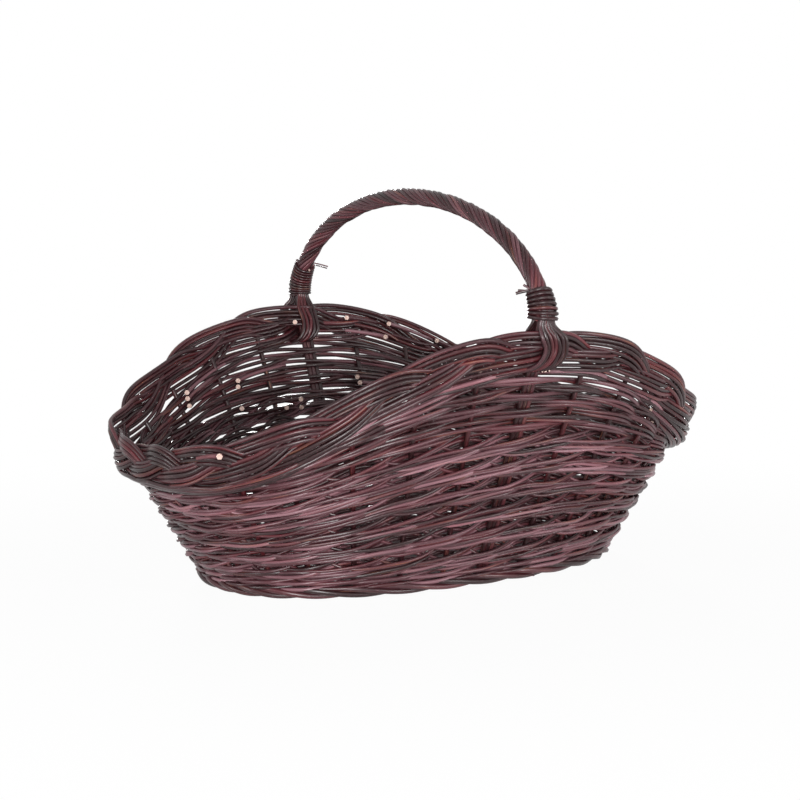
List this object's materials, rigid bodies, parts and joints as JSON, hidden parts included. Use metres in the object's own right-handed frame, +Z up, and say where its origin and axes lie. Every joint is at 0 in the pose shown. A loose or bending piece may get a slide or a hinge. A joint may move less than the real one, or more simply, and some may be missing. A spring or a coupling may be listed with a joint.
{
  "type": "log basket",
  "caption": "Boat-shaped oval log basket of woven brown willow with low ends, raised sides, a plaited border and a roped bow handle over the middle.",
  "frame": {"origin": "on the ground under the centre of the basket", "axes": "+X along the basket from one low end to the other, +Y across it to the side that is farther in the picture, +Z up"},
  "size_m": [0.6248, 0.4662, 0.3864],
  "materials": {
    "willow_bark": "satin bark",
    "willow_dark": "satin bark",
    "willow_red": "satin bark"
  },
  "bodies": {
    "root": {"stake_01": "willow_bark", "stake_02": "willow_bark", "stake_03": "willow_bark", "stake_04": "willow_bark", "stake_05": "willow_bark", "stake_06": "willow_bark", "stake_07": "willow_bark", "stake_08": "willow_bark", "stake_09": "willow_bark", "stake_10": "willow_bark", "stake_11": "willow_bark", "stake_12": "willow_bark", "stake_13": "willow_bark", "stake_14": "willow_bark", "stake_15": "willow_bark", "stake_16": "willow_bark", "stake_17": "willow_bark", "stake_18": "willow_bark", "stake_19": "willow_bark", "stake_20": "willow_bark", "stake_21": "willow_bark", "stake_22": "willow_bark", "stake_23": "willow_bark", "stake_24": "willow_bark", "stake_25": "willow_bark", "stake_26": "willow_bark", "stake_27": "willow_bark", "stake_28": "willow_bark", "foot_wale": "willow_dark", "wale_round_1": "willow_bark", "wale_round_2": "willow_bark", "wale_round_3": "willow_bark", "wale_round_4": "willow_bark", "wale_round_5": "willow_bark", "wale_round_6": "willow_bark", "packing_near_1": "willow_bark", "packing_near_2": "willow_bark", "packing_near_3": "willow_bark", "packing_far_1": "willow_bark", "packing_far_2": "willow_bark", "packing_far_3": "willow_bark", "border_strand_1": "willow_red", "border_strand_2": "willow_red", "border_strand_3": "willow_red", "floor_long_stick_1": "willow_dark", "floor_long_stick_2": "willow_dark", "floor_cross_stick_1": "willow_dark", "floor_cross_stick_2": "willow_dark", "floor_cross_stick_3": "willow_dark", "floor_cross_stick_4": "willow_dark", "floor_weave_inner": "willow_bark", "floor_weave_outer": "willow_bark", "floor_weave_edge": "willow_bark", "handle_bow": "willow_dark", "handle_rope_1": "willow_red", "handle_rope_2": "willow_red", "handle_rope_3": "willow_red", "handle_rope_4": "willow_red", "handle_binding_near": "willow_red", "handle_binding_far": "willow_red"}
  },
  "joints": []
}
